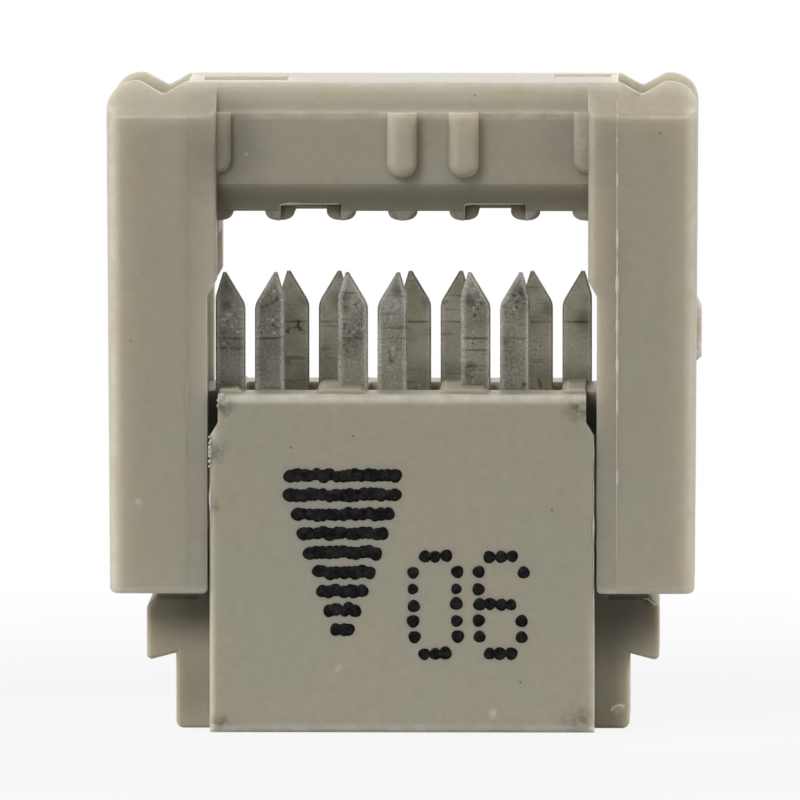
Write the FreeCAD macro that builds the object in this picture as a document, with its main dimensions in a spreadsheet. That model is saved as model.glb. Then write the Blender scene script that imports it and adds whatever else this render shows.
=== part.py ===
import FreeCAD, Part
import os

import Sketcher

# Two-row insulation displacement socket for six wires, cover standing open.
# The origin is the centre of the mating face, Z points up to the cable and the plain face looks to -Y.

doc = FreeCAD.newDocument("ribbon_socket")

# Driving dimensions in millimetres
sheet = doc.addObject("Spreadsheet::Sheet", "Dimensions")
dimensions = {
    "wire_pitch": 1.27,
    "pin_pitch": 2.54,
    "row_offset": 1.27,
    "fork_shift": 0.635,
    "base_wide": 7.95,
    "base_deep": 6.1,
    "base_tall": 7.0,
    "base_edge": 0.13,
    "top_edge": 0.2,
    "notch_face": 3.8,
    "notch_low": 6.13,
    "notch_high": 6.42,
    "ridge_rise": 0.09,
    "ridge_wide": 1.03,
    "ridge_slope": 0.12,
    "ridge_setback": 0.45,
    "pit_wide": 1.51,
    "pit_deep": 0.3,
    "ear_half": 1.81,
    "ear_edge": 0.08,
    "rib_reach": 4.25,
    "stem_reach": 4.7,
    "stem_round": 0.16,
    "hook_reach": 5.31,
    "hook_tip": 1.4,
    "hook_root": 1.56,
    "hook_top": 2.73,
    "hook_slope": 0.2,
    "hook_round": 0.1,
    "key_wide": 4.1,
    "key_thick": 1.1,
    "key_tall": 5.2,
    "key_edge": 0.2,
    "slot_thick": 0.34,
    "slot_floor": 4.6,
    "slot_slack": 0.02,
    "cavity_half": 0.78,
    "cavity_deep": 0.9,
    "cavity_floor": 0.9,
    "entry_wide": 0.95,
    "entry_lead": 0.22,
    "cover_deep": 6.0,
    "leg_low": 2.87,
    "leg_inner": 4.02,
    "leg_outer_low": 6.04,
    "leg_outer_top": 6.11,
    "leg_edge": 0.3,
    "foot_edge": 0.12,
    "window_half": 3.84,
    "window_edge": 0.17,
    "shoulder_low": 9.03,
    "shoulder_high": 9.34,
    "hump_top": 13.44,
    "hump_inner": 5.43,
    "hump_round": 0.58,
    "hump_shoulder": 0.25,
    "vee_round": 0.12,
    "crease_soft": 0.06,
    "parting_step": 0.04,
    "vee_low": 13.16,
    "vee_at": 4.95,
    "vee_inner": 4.5,
    "bar_top": 13.42,
    "bar_half": 4.44,
    "bar_face": 2.65,
    "bar_top_face": 2.2,
    "bar_under_face": 2.15,
    "bar_brow": 12.82,
    "bar_lip": 0.05,
    "bar_chin": 11.33,
    "bar_under": 10.75,
    "crease": 12.77,
    "post_thick": 1.05,
    "loop_inner": 5.42,
    "loop_sill": 4.15,
    "loop_lintel": 6.2,
    "loop_top": 10.0,
    "web_low": 10.2,
    "bump_root": 0.56,
    "bump_crest": 0.17,
    "bump_low": 10.55,
    "bump_edge": 0.18,
    "tine_pocket_wide": 1.6,
    "tine_pocket_deep": 0.64,
    "tine_pocket_top": 12.36,
    "clip_notch_top": 10.9,
    "clip_notch_face": 1.27,
    "rib_wide": 0.62,
    "rib_low": 11.46,
    "rib_proud": 0.3,
    "rib_round": 0.3,
    "rib_crown": 0.22,
    "gusset_wide": 0.3,
    "gusset_tall": 1.25,
    "gusset_proud": 0.14,
    "gusset_round": 0.26,
    "gusset_crown": 0.08,
    "mark_left": 4.15,
    "mark_right": 2.4,
    "mark_front": 1.25,
    "mark_back": 0.55,
    "mark_deep": 0.2,
    "scar_left": 3.1,
    "scar_right": 4.3,
    "scar_front": 0.4,
    "scar_back": 1.5,
    "scar_deep": 0.04,
    "pad_reach": 6.18,
    "pad_low": 7.45,
    "pad_high": 8.85,
    "pad_front": 0.9,
    "pad_back": 2.3,
    "metal": 0.3,
    "metal_edge": 0.03,
    "tine_tip": 9.43,
    "tine_tip_at": 0.53,
    "tine_tip_flat": 0.035,
    "tine_outer": 0.715,
    "tine_inner": 0.1,
    "tine_outer_drop": 0.5,
    "tine_inner_drop": 0.66,
    "tine_round": 0.4,
    "row_drop": 0.1,
    "fork_floor": 6.1,
    "plate_reach": 0.7,
    "plate_shoulder": 6.6,
    "beam_root": 4.2,
    "beam_gap": 0.3,
    "beam_belly": 0.36,
    "nose_gap": 0.27,
    "nose_at": 1.9,
    "beam_waist": 0.62,
    "beam_low": 1.12,
    "beam_flare": 0.42,
}
for row, (name, value) in enumerate(dimensions.items(), start=1):
    sheet.set("A%d" % row, name)
    sheet.set("B%d" % row, str(value))
    sheet.setAlias("B%d" % row, name)
doc.recompute()


def size(expression):
    """Value in millimetres of an expression written with the sheet's aliases."""
    return float(sheet.evalExpression(expression))


def bound(expression):
    """The same expression with every alias addressed through the sheet."""
    words = []
    for token in expression.replace("(", " ( ").replace(")", " ) ").split():
        words.append("Dimensions." + token if token in dimensions else token)
    return " ".join(words)


def new_body(label):
    body = doc.addObject("PartDesign::Body", label)
    body.Label = label
    return body


def plane_of(body, role):
    for datum in body.Origin.OriginFeatures:
        if datum.Role == role:
            return datum
    raise ValueError(role)


def pin_down(sketch, item, end, axis, expression):
    """Hold one end of a line at a signed distance from the sketch origin."""
    kind = "DistanceX" if axis == 0 else "DistanceY"
    value = size(expression)
    if abs(value) < 1e-9:
        sketch.addConstraint(Sketcher.Constraint("PointOnObject", item, end, -2 if axis == 0 else -1))
    elif value > 0:
        number = sketch.addConstraint(Sketcher.Constraint(kind, -1, 1, item, end, value))
        sketch.setExpression("Constraints[%d]" % number, bound(expression))
    else:
        number = sketch.addConstraint(Sketcher.Constraint(kind, item, end, -1, 1, -value))
        sketch.setExpression("Constraints[%d]" % number, bound("0 - ( " + expression + " )"))


def outline(body, name, role, level, loops):
    """Sketch of closed straight-sided loops on a base plane, moved along its normal by level."""
    sketch = body.newObject("Sketcher::SketchObject", name)
    sketch.AttachmentSupport = [(plane_of(body, role), "")]
    sketch.MapMode = "FlatFace"
    sketch.setExpression("AttachmentOffset.Base.z", bound(level))
    for loop in loops:
        corners = [FreeCAD.Vector(size(across), size(up), 0) for across, up in loop]
        first = sketch.GeometryCount
        count = len(corners)
        for k in range(count):
            sketch.addGeometry(Part.LineSegment(corners[k], corners[(k + 1) % count]), False)
        for k in range(count):
            joint = Sketcher.Constraint("Coincident", first + k, 2, first + (k + 1) % count, 1)
            sketch.addConstraint(joint)
        for k, (across, up) in enumerate(loop):
            pin_down(sketch, first + k, 1, 0, across)
            pin_down(sketch, first + k, 1, 1, up)
    doc.recompute()
    return sketch


def feature(body, kind, name, sketch, length, reverse=False):
    """Pad or Pocket of a sketch by a bound length; the body must grow or shrink by it."""
    before = body.Shape.Volume if body.Tip else 0.0
    item = body.newObject("PartDesign::" + kind, name)
    item.Profile = sketch
    item.Type = "Length"
    item.setExpression("Length", bound(length))
    item.Reversed = reverse
    sketch.Visibility = False
    doc.recompute()
    change = body.Shape.Volume - before
    if (change > 1e-6) != (kind == "Pad"):
        raise ValueError("%s changed the volume by %g" % (name, change))
    return item


def dress(body, kind, name, radius, chosen):
    """Fillet or Chamfer on the edges of the body's tip that the test accepts."""
    base = body.Tip
    names = ["Edge%d" % (k + 1) for k, edge in enumerate(base.Shape.Edges) if chosen(edge)]
    if not names:
        raise ValueError("no edge for " + name)
    item = body.newObject("PartDesign::" + kind, name)
    item.Base = (base, names)
    item.setExpression("Radius" if kind == "Fillet" else "Size", bound(radius))
    doc.recompute()
    return item


def rectangle(left, right, low, high):
    return [(left, low), (right, low), (right, high), (left, high)]


def flipped(loop):
    """The loop mirrored left to right."""
    return [("0 - ( %s )" % across, up) for across, up in reversed(loop)]


def close(a, b):
    return abs(a - b) < 1e-4


def lies(edge, axis, value):
    """True when every point of the edge has this coordinate."""
    box = edge.BoundBox
    low = (box.XMin, box.YMin, box.ZMin)[axis]
    high = (box.XMax, box.YMax, box.ZMax)[axis]
    return close(low, value) and close(high, value)


def runs(edge, axis):
    """True for an edge parallel to one axis."""
    box = edge.BoundBox
    spans = (box.XLength, box.YLength, box.ZLength)
    return spans[axis] > 1e-4 and all(spans[k] < 1e-4 for k in range(3) if k != axis)


columns = ["0 - pin_pitch", "0", "pin_pitch"]

# Base housing
base = new_body("base_housing")
half_wide = "base_wide / 2"
half_deep = "base_deep / 2"
right_side = [
    (half_wide, "0"),
    (half_wide, "notch_low"),
    ("notch_face", "notch_high"),
    ("notch_face", "base_tall"),
]
left_side = [("0 - ( %s )" % across, up) for across, up in reversed(right_side)]
block_face = outline(base, "BlockFace", "XZ_Plane", "0 - " + half_deep, [right_side + left_side])
feature(base, "Pad", "Block", block_face, "base_deep")
dress(base, "Fillet", "TopRounding", "top_edge", lambda e: (
    lies(e, 2, size("base_tall")) and runs(e, 0)))
dress(base, "Fillet", "BlockRounding", "base_edge", lambda e: (
    (lies(e, 2, 0) and runs(e, 0)) or (runs(e, 2) and close(abs(e.BoundBox.XMin), size(half_wide)))))

ear = [
    ("notch_face - 0.3", "0"),
    ("stem_reach", "0"),
    ("stem_reach", "hook_root"),
    ("hook_reach", "hook_tip"),
    ("hook_reach", "hook_top - hook_slope"),
    ("hook_reach - hook_slope", "hook_top"),
    ("rib_reach", "hook_top"),
    ("rib_reach", "base_tall"),
    ("notch_face - 0.3", "base_tall"),
]
ears = outline(base, "EarFaces", "XZ_Plane", "0 - ear_half", [ear, flipped(ear)])
feature(base, "Pad", "Ears", ears, "2 * ear_half")
dress(base, "Fillet", "StemRounding", "stem_round", lambda e: (
    runs(e, 1) and lies(e, 2, 0) and close(abs(e.BoundBox.XMin), size("stem_reach"))))
dress(base, "Fillet", "HookRounding", "hook_round", lambda e: (
    runs(e, 1) and abs(e.BoundBox.XMin) > size("hook_reach - hook_slope") - 1e-4))


def on_ear_face(edge):
    box = edge.BoundBox
    outside = min(abs(box.XMin), abs(box.XMax)) > size("rib_reach") + 0.01
    return outside and close(abs(box.YMin), size("ear_half")) and close(box.YMin, box.YMax)


dress(base, "Fillet", "EarRounding", "ear_edge", on_ear_face)


def ridge(left, right, slope_left, slope_right):
    return [
        (left, "base_tall - 0.2"),
        (right, "base_tall - 0.2"),
        (right, "base_tall"),
        ("%s - %s" % (right, slope_right), "base_tall + ridge_rise"),
        ("%s + %s" % (left, slope_left), "base_tall + ridge_rise"),
        (left, "base_tall"),
    ]


middle_ridge = ridge("wire_pitch - ridge_wide / 2", "wire_pitch + ridge_wide / 2",
                     "ridge_slope", "ridge_slope")
end_ridge = ridge("3 * wire_pitch - ridge_wide / 2", "notch_face", "ridge_slope", "0.03")
ridges = outline(base, "RidgeFaces", "XZ_Plane", "ridge_setback - " + half_deep,
                 [middle_ridge, flipped(middle_ridge), end_ridge, flipped(end_ridge)])
feature(base, "Pad", "Ridges", ridges, "base_deep - 2 * ridge_setback")

key_face = outline(base, "KeyFace", "XZ_Plane", "0 - %s - key_thick" % half_deep,
                   [rectangle("0 - key_wide / 2", "key_wide / 2", "0", "key_tall")])
feature(base, "Pad", "Key", key_face, "key_thick + 0.2")
dress(base, "Chamfer", "KeyLeadIn", "key_edge", lambda e: (
    lies(e, 1, size(half_deep + " + key_thick"))))

pits = outline(base, "PitFaces", "XY_Plane", "base_tall + 0.3", [
    rectangle(c + " - pit_wide / 2", c + " + pit_wide / 2", "0 - row_offset", "row_offset") for c in columns])
feature(base, "Pocket", "Pits", pits, "pit_deep + 0.3")


def plate_slot(column, turn):
    """Opening for one contact plate; the back row is the front row turned half round."""
    far = "fork_shift + tine_outer + slot_slack"
    near = "plate_reach + slot_slack"
    row_at = "0 - row_offset" if turn > 0 else "row_offset"
    left = "%s - ( %s )" % (column, far if turn > 0 else near)
    right = "%s + ( %s )" % (column, near if turn > 0 else far)
    return rectangle(left, right, row_at + " - slot_thick / 2", row_at + " + slot_thick / 2")


slots = outline(base, "SlotFaces", "XY_Plane", "base_tall + 0.3",
                [plate_slot(c, turn) for c in columns for turn in (1, -1)])
feature(base, "Pocket", "PlateSlots", slots, "base_tall + 0.3 - slot_floor")


def square(column, row_at, half_across, half_through):
    return rectangle("%s - %s" % (column, half_across), "%s + %s" % (column, half_across),
                     "%s - %s" % (row_at, half_through), "%s + %s" % (row_at, half_through))


rows = ["0 - row_offset", "row_offset"]
cavities = outline(base, "CavityFaces", "XY_Plane", "slot_floor",
                   [square(c, r, "cavity_half", "cavity_deep / 2") for c in columns for r in rows])
feature(base, "Pocket", "Cavities", cavities, "slot_floor - cavity_floor")
entries = outline(base, "EntryFaces", "XY_Plane", "cavity_floor + 0.1",
                  [square(c, r, "entry_wide / 2", "entry_wide / 2") for c in columns for r in rows])
feature(base, "Pocket", "PinEntries", entries, "cavity_floor + 0.2")


def on_entry_mouth(edge):
    box = edge.BoundBox
    small = max(box.XLength, box.YLength) < size("entry_wide") + 1e-4
    inside = max(abs(box.YMin), abs(box.YMax)) < size("row_offset + entry_wide / 2") + 1e-4
    under_pins = abs(box.Center.x) < size("pin_pitch + entry_wide / 2") + 1e-4
    return lies(edge, 2, 0) and small and inside and under_pins


dress(base, "Chamfer", "EntryLeadIn", "entry_lead", on_entry_mouth)

# Cover
cover = new_body("cover")
bar_section = [
    ("0 - bar_face + bar_lip", "bar_chin"),
    ("0 - bar_under_face", "bar_under"),
    ("bar_under_face", "bar_under"),
    ("bar_face - bar_lip", "bar_chin"),
    ("bar_face - bar_lip", "bar_brow - bar_lip"),
    ("bar_face", "bar_brow - bar_lip"),
    ("bar_face", "bar_brow"),
    ("bar_top_face", "bar_top"),
    ("0 - bar_top_face", "bar_top"),
    ("0 - bar_face", "bar_brow"),
    ("0 - bar_face", "bar_brow - bar_lip"),
    ("0 - bar_face + bar_lip", "bar_brow - bar_lip"),
]
bar = outline(cover, "BarSection", "YZ_Plane", "0 - bar_half", [bar_section])
feature(cover, "Pad", "Bar", bar, "2 * bar_half")

leg = [
    ("leg_inner", "leg_low"),
    ("leg_outer_low", "leg_low"),
    ("leg_outer_top", "hump_top"),
    ("hump_inner", "hump_top"),
    ("vee_at", "vee_low"),
    ("vee_inner", "bar_top"),
    ("window_half", "bar_top"),
    ("window_half", "shoulder_high"),
    ("leg_inner", "shoulder_low"),
]
half_cover = "cover_deep / 2"
legs = outline(cover, "LegFaces", "XZ_Plane", "0 - " + half_cover, [leg, flipped(leg)])
feature(cover, "Pad", "Legs", legs, "cover_deep")


def along_depth(across, up):
    """Test for the edges that run front to back at one point of the leg's outline, on both legs."""
    return lambda e: runs(e, 1) and lies(e, 2, size(up)) and close(abs(e.BoundBox.XMin), size(across))


dress(cover, "Fillet", "HumpRounding", "hump_round", along_depth("leg_outer_top", "hump_top"))
dress(cover, "Fillet", "HumpShoulder", "hump_shoulder", along_depth("hump_inner", "hump_top"))
dress(cover, "Fillet", "VeeRounding", "vee_round", along_depth("vee_at", "vee_low"))


def on_leg_side(edge):
    box = edge.BoundBox
    outer = min(abs(box.XMin), abs(box.XMax)) > size("leg_outer_low") - 1e-4
    return box.ZLength > 1 and outer and close(box.YMin, box.YMax)


dress(cover, "Fillet", "LegRounding", "leg_edge", on_leg_side)
dress(cover, "Fillet", "FootRounding", "foot_edge", lambda e: lies(e, 2, size("leg_low")))

# Sloping top edges, with a narrow facet that softens the crease on the legs
slope = "( bar_top - crease ) / ( %s - bar_top_face )" % half_cover
bevel = [
    ("0 - %s - 0.1" % half_cover, "crease - crease_soft"),
    ("0 - " + half_cover, "crease - crease_soft"),
    ("crease_soft - " + half_cover, "crease + crease_soft * " + slope),
    ("0 - bar_top_face", "bar_top"),
    ("0 - bar_top_face", "bar_top + 0.5"),
    ("0 - %s - 0.1" % half_cover, "bar_top + 0.5"),
]
bevels = outline(cover, "BevelSections", "YZ_Plane", "0 - leg_outer_top - 0.5", [bevel, flipped(bevel)])
feature(cover, "Pocket", "TopBevels", bevels, "2 * leg_outer_top + 1", True)



def parting_section(rise):
    """Section of the thin layer that the mould's parting step leaves off the strip beside the window."""
    return [
        ("0 - %s - 0.1" % half_cover, "leg_low - 0.1"),
        ("%s - %s" % (rise, half_cover), "leg_low - 0.1"),
        ("%s - %s" % (rise, half_cover), "crease"),
        ("0 - bar_top_face", "bar_top"),
        ("0 - %s - 0.1" % half_cover, "bar_top"),
    ]


for side, level, rise in (("Right", "window_half - 0.05", "parting_step"),
                          ("Left", "0 - bar_half", "parting_step / 2")):
    layer = parting_section(rise)
    step_face = outline(cover, "StepSection" + side, "YZ_Plane", level, [layer, flipped(layer)])
    feature(cover, "Pocket", "PartingStep" + side, step_face, "bar_half - window_half + 0.05", True)


def on_window_edge(edge):
    box = edge.BoundBox
    outside = abs(box.YMin) > size(half_cover + " - parting_step") - 1e-4
    return runs(edge, 2) and close(abs(box.XMin), size("window_half")) and outside


dress(cover, "Fillet", "WindowRounding", "window_edge", on_window_edge)

# Open channel between the front and back posts, with the snap loop across its outer side
channel = [
    ("window_half - 0.3", "leg_low - 0.5"),
    ("loop_inner", "leg_low - 0.5"),
    ("loop_inner", "loop_sill"),
    ("leg_outer_top + 0.5", "loop_sill"),
    ("leg_outer_top + 0.5", "loop_lintel"),
    ("loop_inner", "loop_lintel"),
    ("loop_inner", "loop_top"),
    ("leg_outer_top + 0.5", "loop_top"),
    ("leg_outer_top + 0.5", "hump_top + 0.5"),
    ("bar_half", "hump_top + 0.5"),
    ("bar_half", "web_low"),
    ("window_half - 0.3", "web_low"),
]
channels = outline(cover, "ChannelFaces", "XZ_Plane", "post_thick - " + half_cover,
                   [channel, flipped(channel)])
feature(cover, "Pocket", "Channels", channels, "cover_deep - 2 * post_thick", True)


def bump(number):
    """Rib between two wire grooves, or the half rib against a post at either end."""
    middle = "%d * wire_pitch" % number
    left = [
        (middle + " - bump_root / 2", "bar_under + 0.1"),
        (middle + " - bump_root / 2", "bar_under"),
        (middle + " - bump_crest / 2", "bump_low"),
    ]
    right = [
        (middle + " + bump_crest / 2", "bump_low"),
        (middle + " + bump_root / 2", "bar_under"),
        (middle + " + bump_root / 2", "bar_under + 0.1"),
    ]
    if number == 3:
        right = [("window_half + 0.1", "bump_low"), ("window_half + 0.1", "bar_under + 0.1")]
    return left + right


bumps = outline(cover, "BumpFaces", "XZ_Plane", "0 - bar_under_face",
                [bump(k) for k in range(-2, 4)] + [flipped(bump(3))])
feature(cover, "Pad", "WireBumps", bumps, "2 * bar_under_face")
dress(cover, "Fillet", "BumpRounding", "bump_edge", lambda e: (
    runs(e, 1) and lies(e, 2, size("bump_low")) and abs(e.BoundBox.XMin) < size("window_half") - 0.01))

gusset = rectangle("window_half - gusset_wide", "window_half + 0.2", "bar_brow - gusset_tall", "bar_brow")
gussets = outline(cover, "GussetFaces", "XZ_Plane", "bar_face - 0.1", [gusset, flipped(gusset)])
feature(cover, "Pad", "Gussets", gussets, "gusset_proud + 0.1")


def on_gusset_rim(edge):
    box = edge.BoundBox
    rim = close(box.YMin, box.YMax) and close(box.YMin, -size("bar_face + gusset_proud"))
    free = min(abs(box.XMin), abs(box.XMax)) < size("window_half") - 0.01
    return rim and free and box.ZMin < size("bar_brow") - 0.01


dress(cover, "Fillet", "GussetEnds", "gusset_round",
      along_depth("window_half - gusset_wide", "bar_brow - gusset_tall"))
dress(cover, "Chamfer", "GussetBevel", "gusset_crown", on_gusset_rim)

rib_faces = [rectangle(c + " - rib_wide / 2", c + " + rib_wide / 2", "rib_low", "bar_brow")
             for c in ("0", "wire_pitch")]
ribs = outline(cover, "RibFaces", "XZ_Plane", "bar_face - 0.1", rib_faces)
feature(cover, "Pad", "Ribs", ribs, "rib_proud + 0.1")


def on_rib_corner(edge):
    return runs(edge, 1) and lies(edge, 2, size("rib_low"))


def on_rib_rim(edge):
    box = edge.BoundBox
    rim = close(box.YMin, box.YMax) and close(box.YMin, -size("bar_face + rib_proud"))
    return rim and box.ZMin < size("bar_brow") - 0.01


dress(cover, "Fillet", "RibEnds", "rib_round", on_rib_corner)
dress(cover, "Fillet", "RibRounding", "rib_crown", on_rib_rim)

clip_cut = rectangle("wire_pitch", "2 * wire_pitch", "bump_low - 0.3", "clip_notch_top")
clip_cuts = outline(cover, "ClipNotchFaces", "XZ_Plane", "clip_notch_face", [clip_cut, flipped(clip_cut)])
feature(cover, "Pocket", "ClipNotches", clip_cuts, half_cover, True)


def tine_pocket(number):
    """Blind pocket above the fork of one wire; odd wires stand in the front row."""
    middle = "%s * wire_pitch" % (number - 3.5) if number > 3 else "0 - %s * wire_pitch" % (3.5 - number)
    row_at = "0 - row_offset" if number % 2 else "row_offset"
    return square(middle, row_at, "tine_pocket_wide / 2", "tine_pocket_deep / 2")


pockets = outline(cover, "TinePocketFaces", "XY_Plane", "web_low - 0.2",
                  [tine_pocket(number) for number in range(1, 7)])
feature(cover, "Pocket", "TinePockets", pockets, "tine_pocket_top - web_low + 0.2", True)

mark = outline(cover, "MarkFace", "XY_Plane", "bar_top + 0.2",
               [rectangle("0 - mark_left", "0 - mark_right", "0 - mark_front", "mark_back")])
feature(cover, "Pocket", "WireOneMark", mark, "mark_deep + 0.2")
scar = outline(cover, "ScarFace", "XY_Plane", "bar_top + 0.2",
               [rectangle("scar_left", "scar_right", "0 - scar_front", "scar_back")])
feature(cover, "Pocket", "EjectorScar", scar, "scar_deep + 0.2")
gate_face = [
    ("leg_outer_low - 0.2", "pad_low"),
    ("leg_outer_low", "pad_low"),
    ("pad_reach", "pad_low + 0.12"),
    ("pad_reach", "pad_high - 0.3"),
    ("leg_outer_low", "pad_high"),
    ("leg_outer_low - 0.2", "pad_high"),
]
gate = outline(cover, "GateFace", "XZ_Plane", "0 - pad_back", [gate_face])
feature(cover, "Pad", "GatePad", gate, "pad_back - pad_front")


# Contacts
def contact_outline(tip):
    """Stamped blank seen from the front: wire fork above, pin fork below, pin axis at zero."""
    fork = "0 - fork_shift"
    left_tine = [
        (fork + " - tine_outer", "slot_floor"),
        (fork + " - tine_outer", tip + " - tine_outer_drop"),
        (fork + " - tine_tip_at - tine_tip_flat", tip),
        (fork + " - tine_tip_at + tine_tip_flat", tip),
        (fork + " - tine_inner", tip + " - tine_inner_drop"),
        (fork + " - tine_inner", "fork_floor"),
    ]
    right_tine = [
        (fork + " + tine_inner", "fork_floor"),
        (fork + " + tine_inner", tip + " - tine_inner_drop"),
        (fork + " + tine_tip_at - tine_tip_flat", tip),
        (fork + " + tine_tip_at + tine_tip_flat", tip),
        (fork + " + tine_outer", tip + " - tine_outer_drop"),
        (fork + " + tine_outer", "plate_shoulder"),
    ]
    right_beam = [
        ("plate_reach", "plate_shoulder"),
        ("plate_reach", "slot_floor"),
        ("beam_waist", "nose_at + 0.1"),
        ("plate_reach", "beam_low"),
        ("beam_flare", "beam_low"),
        ("nose_gap", "nose_at - 0.12"),
        ("nose_gap", "nose_at + 0.12"),
        ("beam_belly", "( nose_at + beam_root ) / 2 + 0.3"),
        ("beam_gap", "beam_root"),
    ]
    left_beam = [("0 - %s" % across, up) for across, up in reversed(right_beam[1:])]
    return left_tine + right_tine + right_beam + left_beam


def build_contact(number):
    body = new_body("contact_%d" % number)
    front = number % 2 == 1
    tip = "tine_tip" if front else "tine_tip - row_drop"
    blank = outline(body, "Blank%d" % number, "XZ_Plane", "0 - metal / 2", [contact_outline(tip)])
    feature(body, "Pad", "Stamping%d" % number, blank, "metal")
    corners = [size(tip + " - tine_inner_drop"), size(tip + " - tine_outer_drop")]
    dress(body, "Fillet", "TineShoulders%d" % number, "tine_round", lambda e: (
        runs(e, 1) and any(lies(e, 2, corner) for corner in corners)))
    burr = size("plate_shoulder") + 0.05
    dress(body, "Chamfer", "TineEdges%d" % number, "metal_edge", lambda e: (
        close(e.BoundBox.YMin, e.BoundBox.YMax) and e.BoundBox.ZMax > burr
        and e.BoundBox.ZLength > 0.1))
    column = (number - 1) // 2 - 1
    turn = FreeCAD.Rotation(FreeCAD.Vector(0, 0, 1), 0 if front else 180)
    body.Placement = FreeCAD.Placement(FreeCAD.Vector(0, 0, 0), turn)
    body.setExpression("Placement.Base.x", bound("%d * pin_pitch" % column))
    body.setExpression("Placement.Base.y", bound("0 - row_offset" if front else "row_offset"))
    return body


contacts = [build_contact(number) for number in range(1, 7)]
doc.recompute()

# Every feature must be sound before anything is written
for item in doc.Objects:
    if "Invalid" in item.State or "Error" in item.State:
        raise RuntimeError(item.Label + " did not build")
os.makedirs("parts", exist_ok=True)
for body in [base, cover] + contacts:
    shape = body.Shape
    if shape.isNull() or not shape.isValid() or len(shape.Solids) != 1:
        raise RuntimeError(body.Label + " is not one sound solid")
    shape.exportStep("parts/%s.step" % body.Label)
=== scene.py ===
import math

import bpy
import numpy as np
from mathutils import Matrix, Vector


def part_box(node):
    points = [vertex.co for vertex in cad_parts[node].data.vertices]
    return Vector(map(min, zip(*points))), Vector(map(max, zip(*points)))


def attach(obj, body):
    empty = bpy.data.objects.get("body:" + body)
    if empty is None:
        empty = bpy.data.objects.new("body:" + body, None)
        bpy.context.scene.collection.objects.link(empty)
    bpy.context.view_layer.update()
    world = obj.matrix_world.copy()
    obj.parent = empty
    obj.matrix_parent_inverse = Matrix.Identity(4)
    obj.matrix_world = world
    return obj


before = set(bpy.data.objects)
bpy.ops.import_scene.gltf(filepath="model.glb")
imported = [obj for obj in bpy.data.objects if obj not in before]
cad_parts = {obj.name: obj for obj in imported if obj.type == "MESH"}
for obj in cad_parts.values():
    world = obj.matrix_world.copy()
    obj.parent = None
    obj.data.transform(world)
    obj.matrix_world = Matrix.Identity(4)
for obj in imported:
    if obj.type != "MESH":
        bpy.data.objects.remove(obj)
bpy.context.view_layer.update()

MM = 0.001
scene = bpy.context.scene
scene.view_settings.view_transform = "Standard"

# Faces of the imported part, in metres
PLATE_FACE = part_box("base_housing")[0].y
LEG_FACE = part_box("cover")[0].y

# Depths of the marked places, in millimetres
PLATE = round(PLATE_FACE / MM, 3)
PLATE_EDGE = PLATE + 0.03
PLATE_RIM = PLATE + 0.05
LEG = round(LEG_FACE / MM, 3)
GUSSET = -2.79
BAR_RECESS = -2.6
EAR = -1.81
END_PAD = 0.9
FRONT_TINE, BACK_TINE = -1.42, 1.12

# Forks: their pitch across the cable, and a tine's sides, which lean in from its shoulder to its tip
WIRE_PITCH = 1.27
TINE_OUTER, OUTER_AT_TIP, OUTER_LEAN = 0.715, 0.565, 0.3
TINE_INNER, INNER_AT_TIP, INNER_LEAN = 0.1, 0.495, 0.6


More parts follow.
